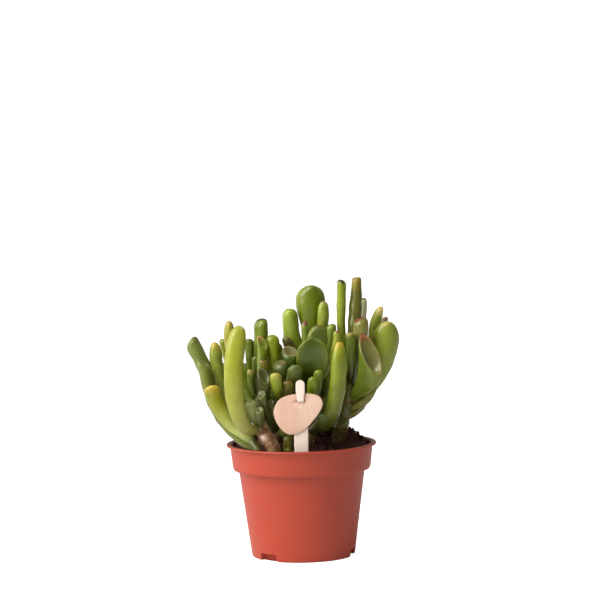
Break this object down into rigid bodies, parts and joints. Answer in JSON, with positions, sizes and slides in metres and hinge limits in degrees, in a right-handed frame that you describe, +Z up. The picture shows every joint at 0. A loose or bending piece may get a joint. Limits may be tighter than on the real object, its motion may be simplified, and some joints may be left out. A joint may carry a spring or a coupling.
{
  "type": "potted hobbit jade plant",
  "caption": "Succulent with finger, trumpet and spoon shaped leaves on woody stems, rooted in a round terracotta-coloured nursery pot with a blank wooden plant label.",
  "frame": {"origin": "middle of the pot's underside, in the plane the pot stands on", "axes": "+Z up; -Y towards the viewer of the picture, the side that carries the label; +X to the viewer's right"},
  "size_m": [0.1271, 0.1049, 0.1667],
  "materials": {
    "pot_plastic": "smooth moulded, terracotta-coloured",
    "peat": "dark, crumbly, slightly moist",
    "bark": "dull corky skin with leaf scars",
    "leaf_skin": "waxy, half glossy, translucent flesh",
    "birch": "bare fine-sanded veneer"
  },
  "bodies": {
    "root": {"pot": "pot_plastic", "soil": "peat", "foot_front_left": "bark", "foot_centre": "bark", "foot_middle": "bark", "foot_right": "bark", "foot_back": "bark", "foot_back_left": "bark", "foot_back_right": "bark", "foot_rear": "bark", "shoot_low_left": "leaf_skin", "shoot_front_left": "leaf_skin", "shoot_centre": "leaf_skin", "shoot_middle": "leaf_skin", "shoot_right": "leaf_skin", "shoot_back": "leaf_skin", "shoot_back_left": "leaf_skin", "shoot_back_right": "leaf_skin", "shoot_rear": "leaf_skin", "label_stick": "birch", "label_card": "birch"}
  },
  "joints": []
}
